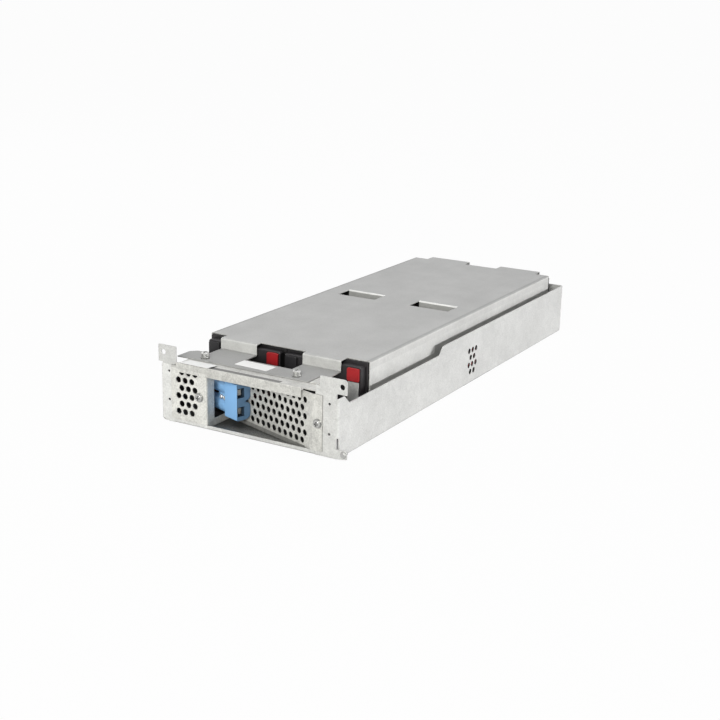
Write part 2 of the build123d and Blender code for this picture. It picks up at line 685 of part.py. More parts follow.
with BuildPart() as lug_stud:
    with BuildSketch(facing_front(0, half + STUD_OUT)):
        with Locations((0, STUD_Z)):
            Circle(STUD_HEAD[0] / 2)
    extrude(amount=STUD_HEAD[1])
    chamfer(edges().filter_by(GeomType.CIRCLE).group_by(Axis.Y)[0], STUD_HEAD[1] / 2)
    with BuildSketch(facing_front(0, half + STUD_OUT)):
        with Locations((0, STUD_Z)):
            Circle(STUD_SHANK / 2)
    extrude(amount=-TRAY_SHEET - SCREW_END)
keep(lug_stud, "lug_stud")

# Batteries: rows one and three face the front, rows two and four face the rear
battery_z = TRAY_SHEET + BATTERY_HEIGHT / 2
battery_columns = [cover_mid + side * column_out for side in (-1, 1)]
terminal_faces = []
number = 0
for row, start in enumerate(row_starts):
    faces_front = row % 2 == 0
    for column_x in battery_columns:
        number += 1
        # The plane of the terminal face looks out of the battery
        face_y = back(start) if faces_front else back(start + BATTERY_LENGTH)
        outward = -1 if faces_front else 1
        face_middle = (column_x, face_y, battery_z)
        face_plane = Plane(origin=face_middle, x_dir=(-outward, 0, 0), z_dir=(0, outward, 0))
        terminal_faces.append(face_plane)
        with BuildPart() as container:
            with BuildSketch(face_plane.offset(-BATTERY_COVER)):
                Rectangle(BATTERY_WIDTH, BATTERY_HEIGHT)
                chamfer(vertices(), BATTERY_EDGE)
            extrude(amount=BATTERY_COVER - BATTERY_LENGTH)
        keep(container, f"battery_container_{number}")
        with BuildPart() as battery_cover:
            with BuildSketch(face_plane):
                Rectangle(BATTERY_WIDTH - 2 * COVER_INSET, BATTERY_HEIGHT - 2 * COVER_INSET_TOP)
                chamfer(vertices(), BATTERY_EDGE)
            extrude(amount=-BATTERY_COVER)
            chamfer(faces().sort_by(Axis((0, 0, 0), face_plane.z_dir))[-1].edges(), BATTERY_EDGE / 2)
            with BuildSketch(face_plane):
                Rectangle(VENT_STRIP[0], VENT_STRIP[1])
            extrude(amount=VENT_STRIP[2])
        keep(battery_cover, f"battery_cover_{number}")

# Terminal caps: positive to the right of a battery seen from its terminal face
for name, side in (("positive_terminal_caps", 1), ("negative_terminal_caps", -1)):
    with BuildPart() as caps:
        for face_plane in terminal_faces:
            with BuildSketch(face_plane):
                with Locations((side * cap_out, cap_z - battery_z)):
                    Rectangle(CAP_SIZE[0], CAP_SIZE[1])
                chamfer(vertices(), CAP_EDGE)
            extrude(amount=CAP_SIZE[2])
    keep(caps, name)

# Leads from the connector to the front row, and jumpers across the middle gap
lead_y = back(FRONT_ROOM - FIT - LEAD / 2)
run_y = back(FRONT_ROOM - LEAD_AHEAD)
turn_x = LEAD_TURN - half
lead_ways = (
    ("positive_lead", -1, battery_columns[0] + cap_out, POSITIVE_LEVELS),
    ("negative_lead", 1, battery_columns[1] - cap_out, NEGATIVE_LEVELS),
)
for name, side, cap_x, levels in lead_ways:
    pole = (HOUSING[2] / 2, side * POLE_PITCH / 2, 0)
    barrel_end = mating_plane.offset(-HOUSING[0] - BARREL_LENGTH)
    with BuildPart() as lead:
        lead_along(
            (
                barrel_end.from_local_coords(pole),
                barrel_end.offset(-LEAD).from_local_coords(pole),
                (turn_x, run_y - 2 * LEAD, levels[0]),
                (turn_x, run_y, levels[1]),
                (cap_x - 2 * LEAD, run_y, levels[1]),
                (cap_x, lead_y, levels[1] + LEAD),
                (cap_x, lead_y, cap_foot),
            ),
            LEAD,
            LEAD_BEND,
        )
    keep(lead, name)

jumper_ends = (
    back(row_starts[1] + BATTERY_LENGTH + FIT + JUMPER / 2),
    back(row_starts[2] - FIT - JUMPER / 2),
)
with BuildPart() as jumper_leads:
    for column_x in battery_columns:
        jumper_x = column_x + cap_out
        loop_x = jumper_x + JUMPER_OUT[0]
        lead_along(
            (
                (jumper_x, jumper_ends[0], cap_foot),
                (jumper_x, jumper_ends[0], JUMPER_KNEE),
                (loop_x, jumper_ends[0] + JUMPER_OUT[1], JUMPER_FOOT),
                (loop_x, jumper_ends[1] - JUMPER_OUT[1], JUMPER_FOOT),
                (jumper_x, jumper_ends[1], JUMPER_KNEE),
                (jumper_x, jumper_ends[1], cap_foot),
            ),
            JUMPER,
            JUMPER_BEND,
        )
keep(jumper_leads, "jumper_leads")
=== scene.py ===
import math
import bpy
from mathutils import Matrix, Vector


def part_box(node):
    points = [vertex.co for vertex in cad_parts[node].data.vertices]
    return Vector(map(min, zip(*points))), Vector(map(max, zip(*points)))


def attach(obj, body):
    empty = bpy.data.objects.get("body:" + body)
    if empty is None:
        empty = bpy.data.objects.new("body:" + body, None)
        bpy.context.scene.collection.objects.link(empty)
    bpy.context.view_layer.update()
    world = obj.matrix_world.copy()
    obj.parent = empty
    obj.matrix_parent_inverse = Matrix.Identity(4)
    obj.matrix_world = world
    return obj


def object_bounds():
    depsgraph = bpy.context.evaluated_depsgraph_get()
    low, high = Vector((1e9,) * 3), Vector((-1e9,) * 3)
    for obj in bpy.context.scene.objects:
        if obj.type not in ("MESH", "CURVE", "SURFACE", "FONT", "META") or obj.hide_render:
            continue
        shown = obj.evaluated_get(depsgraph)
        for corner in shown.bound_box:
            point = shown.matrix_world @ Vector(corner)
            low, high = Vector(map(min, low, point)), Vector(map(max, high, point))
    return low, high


bl_info = {
    "name": "UPS Battery Cartridge",
    "version": (1, 0, 0),
    "blender": (4, 5, 0),
    "location": "View3D > Sidebar > Cartridge",
    "description": "Finishes, blank labels and studio for a UPS battery cartridge",
    "category": "Object",
}

from typing import NamedTuple

import bmesh
import bpy
from bpy.props import FloatProperty, FloatVectorProperty, PointerProperty
from mathutils import Euler, Matrix, Vector

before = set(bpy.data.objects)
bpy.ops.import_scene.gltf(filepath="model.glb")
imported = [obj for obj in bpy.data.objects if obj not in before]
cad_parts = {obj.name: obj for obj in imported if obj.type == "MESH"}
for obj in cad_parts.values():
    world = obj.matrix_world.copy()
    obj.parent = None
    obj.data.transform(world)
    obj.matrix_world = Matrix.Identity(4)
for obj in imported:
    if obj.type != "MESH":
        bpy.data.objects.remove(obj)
CAD_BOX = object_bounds()

PANEL_TURN = math.radians(-17.97)  # of the vent bracket's slanted panel, with the connector on it

# Places on the cartridge in metres, from the middle of the tray's underside unless the line says otherwise
FRONT_ROOM = ((-0.0995, -0.2660, 0.0010), (0.0550, -0.1900, 0.0765))  # the recess and the room behind it
SHEET_MIDDLE = 0.0006       # inside the tray's floor, so that a mark leaves its underside alone
FRONT_SHEET = 0.0010        # thickness of the vent bracket
WALLS_INSIDE = (-0.0998, 0.09985)  # inside the walls' sheet, so that a mark leaves their outside alone
WALL_CUT = 0.2073           # end of the walls' lower stretch, from the front
WALL_LOW = 0.0485           # just under the top of the walls along that stretch
WALL_HIGH = 0.0566          # the same behind it
TAB_BENDS = ((-0.080, 0.0424), (0.070, 0.0446))  # where the tabs of the cover's windows are bent
RECESS_LEFT = 0.010         # the recess's left edge, left of the connector's contacts
LEAD_SHADE_END = -0.084         # where the painted shade on the positive lead ends

# Lighter zinc that worn edges are mixed towards; along the edges it is also a painted highlight.
WORN_AND_SHEEN_ZINC = (0.80, 0.80, 0.78, 1.0)
WHITE = (1.0, 1.0, 1.0, 1.0)
NODE_STEP = 180             # between columns of shader nodes
MARK_PLACE = (-2200, 700)   # of the shader nodes of a material's first mark
MARK_ROW = 560              # from there to the next mark's nodes


def colour_prop(name, description, default):
    """Colour that a user can change in the sidebar."""
    return FloatVectorProperty(
        name=name, description=description, subtype="COLOR", size=3, min=0.0, max=1.0, default=default
    )


def length_prop(name, description, default):
    """Length in metres that a user can change in the sidebar."""
    return FloatProperty(name=name, description=description, unit="LENGTH", precision=5, default=default)


def pair_prop(name, description, default):
    """Two lengths in metres that a user can change in the sidebar."""
    return FloatVectorProperty(
        name=name, description=description, size=2, unit="LENGTH", precision=4, default=default
    )


def angle_prop(name, description, degrees):
    """Angle that a user can change in the sidebar."""
    return FloatProperty(name=name, description=description, subtype="ANGLE", default=math.radians(degrees))


def power_prop(name, description, default):
    """Power of a lamp in watts that a user can change in the sidebar."""
    return FloatProperty(name=name, description=description, unit="POWER", default=default)


def share_prop(name, description, default):
    """Share between 0 and 1 that a user can change in the sidebar."""
    return FloatProperty(
        name=name, description=description, subtype="FACTOR", min=0.0, max=1.0, default=default
    )


class CartridgeFinish(bpy.types.PropertyGroup):
    """Colours and textures of the cartridge's materials."""

    tray_steel: colour_prop("Tray steel", "Galvanised sheet of the tray", (0.60, 0.60, 0.595))
    cover_steel: colour_prop("Cover steel", "Galvanised sheet of the cover", (0.455, 0.455, 0.45))
    front_steel: colour_prop("Front steel", "Sheet of the rail and vent bracket", (0.57, 0.565, 0.545))
    zinc: colour_prop("Zinc", "Plated screws and stud", (0.44, 0.44, 0.43))
    # Lighter copy of the zinc: a painted highlight on the connector's screws.
    highlit_zinc: colour_prop("Highlit zinc", "Plated screws of the connector, painted lighter for their highlights", (0.94, 0.94, 0.93))
    silver: colour_prop("Contacts", "Plated contacts in the connector", (0.50, 0.50, 0.49))
    connector_blue: colour_prop("Connector", "Blue moulding of the power connector", (0.28, 0.55, 0.94))
    battery_black: colour_prop("Battery", "Black plastic of the batteries", (0.013, 0.011, 0.013))
    cap_red: colour_prop("Positive cap", "Red rubber of the positive caps", (0.38, 0.012, 0.016))
    cap_black: colour_prop("Negative cap", "Black rubber of the negative caps", (0.012, 0.011, 0.013))
    lead_red: colour_prop("Positive lead", "Red insulation", (0.50, 0.010, 0.018))
    lead_black: colour_prop("Negative lead", "Black insulation", (0.012, 0.012, 0.013))
    label_white: colour_prop("Label", "White film of the blank labels", (0.96, 0.96, 0.955))
    spangle_size: length_prop("Spangle size", "Width of a zinc crystal", 0.005)
    # Painted shade on the cover's plate.
    ledge_shade: share_prop("Ledge shade", "How much darker the cover's plate is painted, for its shade", 0.24)
    # Painted shadow on the rail behind its hem.
    hem_shadow: share_prop("Hem shadow", "Painted shadow on the rail behind its hem", 0.72)
    # Painted shade at the foot of the slanted panel.
    foot_shade: share_prop("Foot shade", "Painted shade at the foot of the slanted panel", 0.55)
    # Painted shade on the tray inside the cartridge.
    inner_shade: share_prop("Inner shade", "Painted shade on the tray inside the cartridge", 0.85)
    # Painted light on the cover's front flanges.
    riser_light: share_prop("Riser light", "Painted light on the cover's front flanges", 0.22)
    # Painted light on the cover's sides.
    skirt_light: share_prop("Skirt light", "Painted light on the cover's sides", 0.30)
    # Painted shadow of the walls on the cover's sides.
    gap_shadow: share_prop("Gap shadow", "Painted shadow on the cover's sides below the top of the walls", 0.35)
    # A darker thin line along the cover's long folds.
    fold_darkening: share_prop("Fold darkening", "How much darker a thin line along the cover's long folds is", 0.20)
    # Painted light on the front left of the recess.
    face_light: share_prop("Face light", "Painted light on the front left of the recess", 0.20)
    # Painted highlight on the bends of the window tabs.
    bend_highlight: share_prop("Bend highlight", "Painted highlight on the bends of the window tabs", 0.80)
    # Painted shade on the connector's mating face.
    mating_shade: share_prop("Mating face shade", "Painted shade on the connector's mating face", 0.64)
    # Painted shade in the connector's cavities.
    cavity_shade: share_prop("Cavity shade", "Painted shade in the connector's cavities", 0.90)
    # Painted shade on the positive lead behind the connector.
    lead_shade: share_prop("Lead shade", "Painted shade on the positive lead behind the connector", 0.97)
    # Painted shade on the jumper leads.
    jumper_shade: share_prop("Jumper shade", "Painted shade on the jumper leads", 0.40)
    edge_round: length_prop("Edge rounding", "Radius that catches the light on sheet edges", 0.0005)


class CartridgeLabels(bpy.types.PropertyGroup):
    """Sizes and places of the blank labels, from the middle of the tray's underside."""

    plate_size: pair_prop("Plate label", "Width and depth of the plate's label", (0.0380, 0.0160))
    plate_place: pair_prop("Plate label place", "Middle of the plate's label", (-0.0130, -0.2335))
    plate_turn: angle_prop("Plate label turn", "Skew of the plate's label as it was stuck on", -2.5)
    rail_size: pair_prop("Rail label", "Width and depth of the front rail's label", (0.0330, 0.0175))
    rail_place: pair_prop("Rail label place", "Middle of the front rail's label", (-0.0602, -0.25965))
    rail_pitch: angle_prop("Rail label pitch", "Slope of the label from the hem's edge to the rail", -5.9)
    hem_rise: length_prop("Hem rise", "How far the hem of the front rail stands over the rail", 0.0018)
    plate_drop: length_prop("Plate drop", "How far the cover's plate lies below the hem", 0.0008)
    film: length_prop("Film", "Thickness of the label film", 0.00015)
    corner: length_prop("Corner", "Corner radius of the labels", 0.0008)
    front_corner: length_prop("Front corner", "Radius of the rail label's front corners", 0.0032)


class CartridgeStudio(bpy.types.PropertyGroup):
    """Camera, lamps and floor."""

    camera_place: FloatVectorProperty(
        name="Camera place", description="Where the camera stands", subtype="TRANSLATION",
        size=3, unit="LENGTH", precision=4, default=(0.65927, -1.20127, 0.42148),
    )
    camera_turn: FloatVectorProperty(
        name="Camera turn", description="Which way the camera looks", subtype="EULER", size=3, precision=4,
        default=(math.radians(73.2936), math.radians(-1.1803), math.radians(30.2941)),
    )
    lens: FloatProperty(
        name="Lens", description="Focal length in millimetres", unit="CAMERA", default=64.596
    )
    floor_colour: colour_prop("Floor", "Pale floor", (0.55, 0.55, 0.55))
    key_power: power_prop("Key", "Low lamp on the right", 30.0)
    front_power: power_prop("Front", "Lamp at the front", 33.5)
    fill_power: power_prop("Fill", "Weak lamp on the left", 16.0)
    top_power: power_prop("Top", "Wide lamp overhead", 21.0)
    sky: share_prop("Sky", "Soft light from all round", 0.12)


def add_node(tree, kind, place, **settings):
    """Shader node at a place in the tree, with its settings made."""
    node = tree.nodes.new(kind)
    node.location = place
    for name, value in settings.items():
        setattr(node, name, value)
    return node


def set_inputs(node, **values):
    """Default values of a node's inputs by name."""
    for name, value in values.items():
        node.inputs[name.replace("_", " ")].default_value = value


def maths(tree, operation, place, first, second=None, third=None, clamp=False):
    """Math node whose operands are sockets or numbers."""
    node = add_node(tree, "ShaderNodeMath", place, operation=operation, use_clamp=clamp)
    for slot, value in enumerate((first, second, third)):
        if value is None:
            continue
        if isinstance(value, (int, float)):
            node.inputs[slot].default_value = value
        else:
            tree.links.new(value, node.inputs[slot])
    return node.outputs[0]


def noise(tree, place, vector, **values):
    """Noise texture laid out along a vector."""
    node = add_node(tree, "ShaderNodeTexNoise", place)
    set_inputs(node, **values)
    tree.links.new(vector, node.inputs["Vector"])
    return node


def object_coords(tree, place):
    """Coordinates of the model, in metres."""
    return add_node(tree, "ShaderNodeTexCoord", place).outputs["Object"]


def shader_group(name, inputs, outputs):
    """Empty shader node group with named value sockets."""
    tree = bpy.data.node_groups.new(name, "ShaderNodeTree")
    for label, default in inputs.items():
        socket = tree.interface.new_socket(label, in_out="INPUT", socket_type="NodeSocketFloat")
        socket.default_value = default
    for label, kind in outputs.items():
        tree.interface.new_socket(label, in_out="OUTPUT", socket_type=kind)
    source = add_node(tree, "NodeGroupInput", (-1200, 0))
    result = add_node(tree, "NodeGroupOutput", (900, 0))
    return tree, source, result


class Mark(NamedTuple):
    """Box of the model, turned about the upright, where a surface is darker, or lighter below 0."""

    low: tuple
    high: tuple
    amount: float
    turn: float = 0.0


def inside_box(tree, low, high, place, turn=0.0):
    """1 inside a box of the model that is turned about the upright, 0 outside."""
    low, high = Vector(low), Vector(high)
    column = [(place[0] + NODE_STEP * step, place[1]) for step in range(-1, 4)]
    turned = add_node(tree, "ShaderNodeVectorRotate", column[1], rotation_type="Z_AXIS")
    turned.inputs["Angle"].default_value = -turn
    tree.links.new(object_coords(tree, column[0]), turned.inputs["Vector"])
    offset = add_node(tree, "ShaderNodeVectorMath", column[2], operation="SUBTRACT")
    offset.inputs[1].default_value = (low + high) / 2
    tree.links.new(turned.outputs[0], offset.inputs[0])
    reach = add_node(tree, "ShaderNodeVectorMath", column[3], operation="ABSOLUTE")
    tree.links.new(offset.outputs[0], reach.inputs[0])
    parts = add_node(tree, "ShaderNodeSeparateXYZ", column[4])
    tree.links.new(reach.outputs[0], parts.inputs[0])
    inside = 1.0
    for axis, half in enumerate((high - low) / 2):
        row = place[1] - NODE_STEP * axis
        within = maths(tree, "LESS_THAN", (place[0] + 4 * NODE_STEP, row), parts.outputs[axis], half)
        inside = maths(tree, "MULTIPLY", (place[0] + 5 * NODE_STEP, row), within, inside)
    return inside


def zinc_spangle_group():
    """Galvanised surface: zinc crystals, soft mottling, faint rolling streaks and fine speckle."""
    if "Zinc Spangle" in bpy.data.node_groups:
        return bpy.data.node_groups["Zinc Spangle"]
    tree, source, result = shader_group(
        "Zinc Spangle",
        {
            "Crystal Size": 0.005, "Spangle": 0.12, "Mottle": 0.2,
            "Streaks": 0.1, "Speckle": 0.15, "Roughness": 0.42,
        },
        {"Shade": "NodeSocketFloat", "Roughness": "NodeSocketFloat", "Height": "NodeSocketFloat"},
    )
    crystal_warp = 0.006
    streak_scale = (120.0, 5.0, 120.0)
    crystal_gloss, cloud_gloss, streak_height = 0.14, 0.25, 0.6

    link = tree.links.new
    coords = object_coords(tree, (-1200, 300))
    warp = noise(tree, (-1000, 420), coords, Scale=90.0, Detail=2.0)
    push = add_node(tree, "ShaderNodeVectorMath", (-800, 420), operation="MULTIPLY_ADD")
    push.inputs[1].default_value = (crystal_warp,) * 3
    link(warp.outputs["Color"], push.inputs[0])
    link(coords, push.inputs[2])
    density = maths(tree, "DIVIDE", (-800, 180), 1.0, source.outputs["Crystal Size"])
    crystals = add_node(tree, "ShaderNodeTexVoronoi", (-600, 420))
    link(push.outputs[0], crystals.inputs["Vector"])
    link(density, crystals.inputs["Scale"])
    tones = add_node(tree, "ShaderNodeSeparateColor", (-400, 420))
    link(crystals.outputs["Color"], tones.inputs[0])
    clouds = noise(tree, (-600, 80), coords, Scale=22.0, Detail=5.0, Roughness=0.62)
    stretch = add_node(tree, "ShaderNodeMapping", (-800, -200))
    stretch.inputs["Scale"].default_value = streak_scale
    link(coords, stretch.inputs["Vector"])
    lines = noise(tree, (-600, -200), stretch.outputs[0], Scale=1.0, Detail=3.0)
    frost = noise(tree, (-600, -460), coords, Scale=620.0, Detail=2.0)

    crystal = maths(tree, "SUBTRACT", (-220, 420), tones.outputs[0], 0.5)
    cloud = maths(tree, "SUBTRACT", (-220, 80), clouds.outputs[0], 0.5)
    line = maths(tree, "SUBTRACT", (-220, -200), lines.outputs[0], 0.5)
    speck = maths(tree, "SUBTRACT", (-220, -460), frost.outputs[0], 0.5)
    shade = maths(tree, "MULTIPLY_ADD", (0, 420), crystal, source.outputs["Spangle"], 1.0)
    shade = maths(tree, "MULTIPLY_ADD", (100, 360), speck, source.outputs["Speckle"], shade)
    shade = maths(tree, "MULTIPLY_ADD", (200, 300), cloud, source.outputs["Mottle"], shade)
    shade = maths(tree, "MULTIPLY_ADD", (400, 200), line, source.outputs["Streaks"], shade)
    rough = maths(tree, "MULTIPLY_ADD", (0, 0), crystal, crystal_gloss, source.outputs["Roughness"])
    rough = maths(tree, "MULTIPLY_ADD", (200, -60), cloud, cloud_gloss, rough, clamp=True)
    height = maths(tree, "MULTIPLY_ADD", (200, -260), line, streak_height, tones.outputs[1])
    link(shade, result.inputs["Shade"])
    link(rough, result.inputs["Roughness"])
    link(height, result.inputs["Height"])
    return tree


def sheet_edge_group():
    """Rounded look of a sheared edge, with a mask where the edge shows wear and a painted highlight."""
    if "Sheet Edge" in bpy.data.node_groups:
        return bpy.data.node_groups["Sheet Edge"]
    tree, source, result = shader_group(
        "Sheet Edge",
        {"Radius": 0.0005, "Rub": 0.5},
        {"Normal": "NodeSocketVector", "Wear And Sheen": "NodeSocketFloat"},
    )
    rub_gain = 4.0

    link = tree.links.new
    rounded = add_node(tree, "ShaderNodeBevel", (-900, 0), samples=6)
    link(source.outputs["Radius"], rounded.inputs["Radius"])
    surface = add_node(tree, "ShaderNodeNewGeometry", (-900, -220))
    turn = add_node(tree, "ShaderNodeVectorMath", (-680, -100), operation="DOT_PRODUCT")
    link(rounded.outputs[0], turn.inputs[0])
    link(surface.outputs["Normal"], turn.inputs[1])
    # Mask of edges turned away from the face, broken into patches: wear, and a painted highlight.
    away = maths(tree, "SUBTRACT", (-480, -100), 1.0, turn.outputs["Value"])
    mask = maths(tree, "MULTIPLY", (-280, -100), away, rub_gain, clamp=True)
    patches = noise(tree, (-480, -320), object_coords(tree, (-700, -320)), Scale=160.0, Detail=3.0)
    mask = maths(tree, "MULTIPLY", (-80, -160), mask, patches.outputs[0])
    mask = maths(tree, "MULTIPLY", (120, -160), mask, source.outputs["Rub"], clamp=True)
    link(rounded.outputs[0], result.inputs["Normal"])
    link(mask, result.inputs["Wear And Sheen"])
    return tree


def crease_and_depth_shade_group():
    """Painted shade in gaps and corners, and deeper painted shade inside the front room and the recess,
    both from ambient occlusion.
    """
    if "Crease And Depth Shade" in bpy.data.node_groups:
        return bpy.data.node_groups["Crease And Depth Shade"]
    tree, source, result = shader_group(
        "Crease And Depth Shade",
        {"Crease Reach": 0.003, "Crease": 0.55, "Depth Reach": 0.08, "Depth": 0.85},
        {"Unshaded": "NodeSocketFloat"},
    )
    crease_start, crease_gain = 0.85, 1.7
    depth_start, depth_gain = 0.62, 3.0

    link = tree.links.new
    # Painted shade: ambient occlusion at a short reach darkens gaps and corners, at a long reach the front
    # room.
    near = add_node(tree, "ShaderNodeAmbientOcclusion", (-900, 200), samples=8)
    link(source.outputs["Crease Reach"], near.inputs["Distance"])
    far = add_node(tree, "ShaderNodeAmbientOcclusion", (-900, -100), samples=8)
    link(source.outputs["Depth Reach"], far.inputs["Distance"])
    crease = maths(tree, "SUBTRACT", (-680, 200), crease_start, near.outputs["AO"])
    crease = maths(tree, "MULTIPLY", (-480, 200), crease, crease_gain, clamp=True)
    deep = maths(tree, "SUBTRACT", (-680, -100), depth_start, far.outputs["AO"])
    deep = maths(tree, "MULTIPLY", (-480, -100), deep, depth_gain, clamp=True)
    room = inside_box(tree, *FRONT_ROOM, (-1500, -500))
    deep = maths(tree, "MULTIPLY", (-380, -200), deep, room)
    crease = maths(tree, "MULTIPLY", (-280, 200), crease, source.outputs["Crease"])
    deep = maths(tree, "MULTIPLY", (-280, -100), deep, source.outputs["Depth"])
    open_part = maths(tree, "SUBTRACT", (-80, 200), 1.0, crease)
    lit_part = maths(tree, "SUBTRACT", (-80, -100), 1.0, deep)
    link(maths(tree, "MULTIPLY", (140, 60), open_part, lit_part), result.inputs["Unshaded"])
    return tree


def moulded_grain_group():
    """Moulded plastic: fine texture, uneven gloss and a slow drift of tone."""
    if "Moulded Grain" in bpy.data.node_groups:
        return bpy.data.node_groups["Moulded Grain"]
    tree, source, result = shader_group(
        "Moulded Grain",
        {"Grain Size": 0.0008, "Drift": 0.15, "Roughness": 0.45},
        {"Shade": "NodeSocketFloat", "Roughness": "NodeSocketFloat", "Height": "NodeSocketFloat"},
    )
    drift_gloss = 0.3

    link = tree.links.new
    coords = object_coords(tree, (-1200, 300))
    density = maths(tree, "DIVIDE", (-1000, 120), 1.0, source.outputs["Grain Size"])
    grain = noise(tree, (-800, 200), coords, Detail=2.0)
    link(density, grain.inputs["Scale"])
    slow = noise(tree, (-800, -80), coords, Scale=35.0, Detail=4.0)
    drift = maths(tree, "SUBTRACT", (-560, -80), slow.outputs[0], 0.5)
    shade = maths(tree, "MULTIPLY_ADD", (-340, 100), drift, source.outputs["Drift"], 1.0)
    rough = maths(
        tree, "MULTIPLY_ADD", (-340, -80), drift, drift_gloss, source.outputs["Roughness"], clamp=True
    )
    link(shade, result.inputs["Shade"])
    link(rough, result.inputs["Roughness"])
    link(grain.outputs[0], result.inputs["Height"])
    return tree


def place_group(tree, group, place, **values):
    """Shader node group in a material, with its own values."""
    node = add_node(tree, "ShaderNodeGroup", place, node_tree=group)
    set_inputs(node, **values)
    return node


def start_material(name):
    """Material with only its surface shader."""
    material = bpy.data.materials.new(name)
    material.use_nodes = True
    return material, material.node_tree, material.node_tree.nodes["Principled BSDF"]


def shaded_colour(tree, colour, shade, place):
    """The colour made lighter and darker by a shade that runs over the surface."""
    node = add_node(tree, "ShaderNodeVectorMath", place, operation="SCALE")
    node.inputs[0].default_value = tuple(colour)
    tree.links.new(shade, node.inputs["Scale"])
    return node.outputs[0]


def marked(tree, shade, marks):
    """The shade made darker or lighter inside the box of each mark."""
    across, up = MARK_PLACE
    for row, mark in enumerate(marks):
        level = up + MARK_ROW * row
        # Each mark paints shade inside its box, or light where its amount is below 0.
        inside = inside_box(tree, mark.low, mark.high, (across, level), mark.turn)
        mark_factor = maths(tree, "MULTIPLY_ADD", (across + 6 * NODE_STEP, level), inside, -mark.amount, 1.0)
        shade = maths(tree, "MULTIPLY", (across + 7 * NODE_STEP, level), shade, mark_factor)
    return shade


def bumped(tree, place, height, normal, *, strength, distance):
    """Surface normal with a fine relief on it."""
    relief = add_node(tree, "ShaderNodeBump", place)
    set_inputs(relief, Strength=strength, Distance=distance)
    tree.links.new(height, relief.inputs["Height"])
    tree.links.new(normal, relief.inputs["Normal"])
    return relief.outputs["Normal"]


def sheet_steel(
    name, colour, finish, *, spangle, mottle, streaks, speckle, roughness, metallic,
    depth=0.0, crease=0.55, marks=(),
):
    """Galvanised sheet with spangle, worn edges with a painted highlight, painted shade in its creases, and
    marks of painted shade and light.
    """
    material, tree, shader = start_material(name)
    link = tree.links.new
    zinc = place_group(
        tree, zinc_spangle_group(), (-900, 200), Crystal_Size=finish.spangle_size, Spangle=spangle,
        Mottle=mottle, Streaks=streaks, Speckle=speckle, Roughness=roughness,
    )
    edge = place_group(tree, sheet_edge_group(), (-900, -200), Radius=finish.edge_round, Rub=0.6)
    painted_shade = place_group(tree, crease_and_depth_shade_group(), (-900, 500), Crease=crease, Depth=depth)
    # Painted shade in creases and in the front room, then the marks of painted shade and light.
    shade = maths(tree, "MULTIPLY", (-760, 340), zinc.outputs["Shade"], painted_shade.outputs["Unshaded"])
    shade = marked(tree, shade, marks)
    # Edges mixed towards a lighter zinc: wear, and a painted highlight.
    wear_and_sheen = add_node(tree, "ShaderNodeMix", (-420, 260), data_type="RGBA")
    wear_and_sheen.inputs["B"].default_value = WORN_AND_SHEEN_ZINC
    link(edge.outputs["Wear And Sheen"], wear_and_sheen.inputs["Factor"])
    link(shaded_colour(tree, colour, shade, (-640, 260)), wear_and_sheen.inputs["A"])
    relief = bumped(
        tree, (-420, -200), zinc.outputs["Height"], edge.outputs["Normal"],
        strength=0.10, distance=0.0004,
    )
    link(wear_and_sheen.outputs["Result"], shader.inputs["Base Color"])
    link(zinc.outputs["Roughness"], shader.inputs["Roughness"])
    link(relief, shader.inputs["Normal"])
    shader.inputs["Metallic"].default_value = metallic
    return material


def moulded(
    name, colour, *, grain, drift, roughness, relief, depth=0.85, crease=0.3, reach=0.003, marks=()
):
    """Moulded plastic or rubber, with painted shade in its creases and inside the front room, and marks of
    painted shade.
    """
    material, tree, shader = start_material(name)
    link = tree.links.new
    texture = place_group(
        tree, moulded_grain_group(), (-800, 100), Grain_Size=grain, Drift=drift, Roughness=roughness
    )
    edge = place_group(tree, sheet_edge_group(), (-800, -200), Radius=0.0004, Rub=0.0)
    painted_shade = place_group(
        tree, crease_and_depth_shade_group(), (-800, 400), Crease=crease, Crease_Reach=reach, Depth=depth
    )
    # Painted shade in creases and in the front room, then the marks of painted shade.
    shade = maths(tree, "MULTIPLY", (-640, 260), texture.outputs["Shade"], painted_shade.outputs["Unshaded"])
    shade = marked(tree, shade, marks)
    normal = bumped(
        tree, (-380, -160), texture.outputs["Height"], edge.outputs["Normal"],
        strength=relief, distance=0.0002,
    )
    link(shaded_colour(tree, colour, shade, (-480, 160)), shader.inputs["Base Color"])
    link(texture.outputs["Roughness"], shader.inputs["Roughness"])
    link(normal, shader.inputs["Normal"])
    return material


def dress(material, *names):
    """Give CAD nodes a material."""
    for name in names:
        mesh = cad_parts[name].data
        mesh.materials.clear()
        mesh.materials.append(material)


def turned_box(name, turn):
    """Corners of a CAD node's box along axes turned about the upright."""
    back = Matrix.Rotation(-turn, 4, "Z")
    points = [back @ vertex.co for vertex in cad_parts[name].data.vertices]
    low = Vector([min(point[axis] for point in points) for axis in range(3)])
    high = Vector([max(point[axis] for point in points) for axis in range(3)])
    return low, high


def panel_back():
    """Back of the slanted panel along its own axes, one sheet behind the connector's foot."""
    return turned_box("connector_housing", PANEL_TURN)[1].y + FRONT_SHEET


def recess_edge():
    """Left edge of the recess."""
    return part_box("connector_contacts")[0].x - RECESS_LEFT


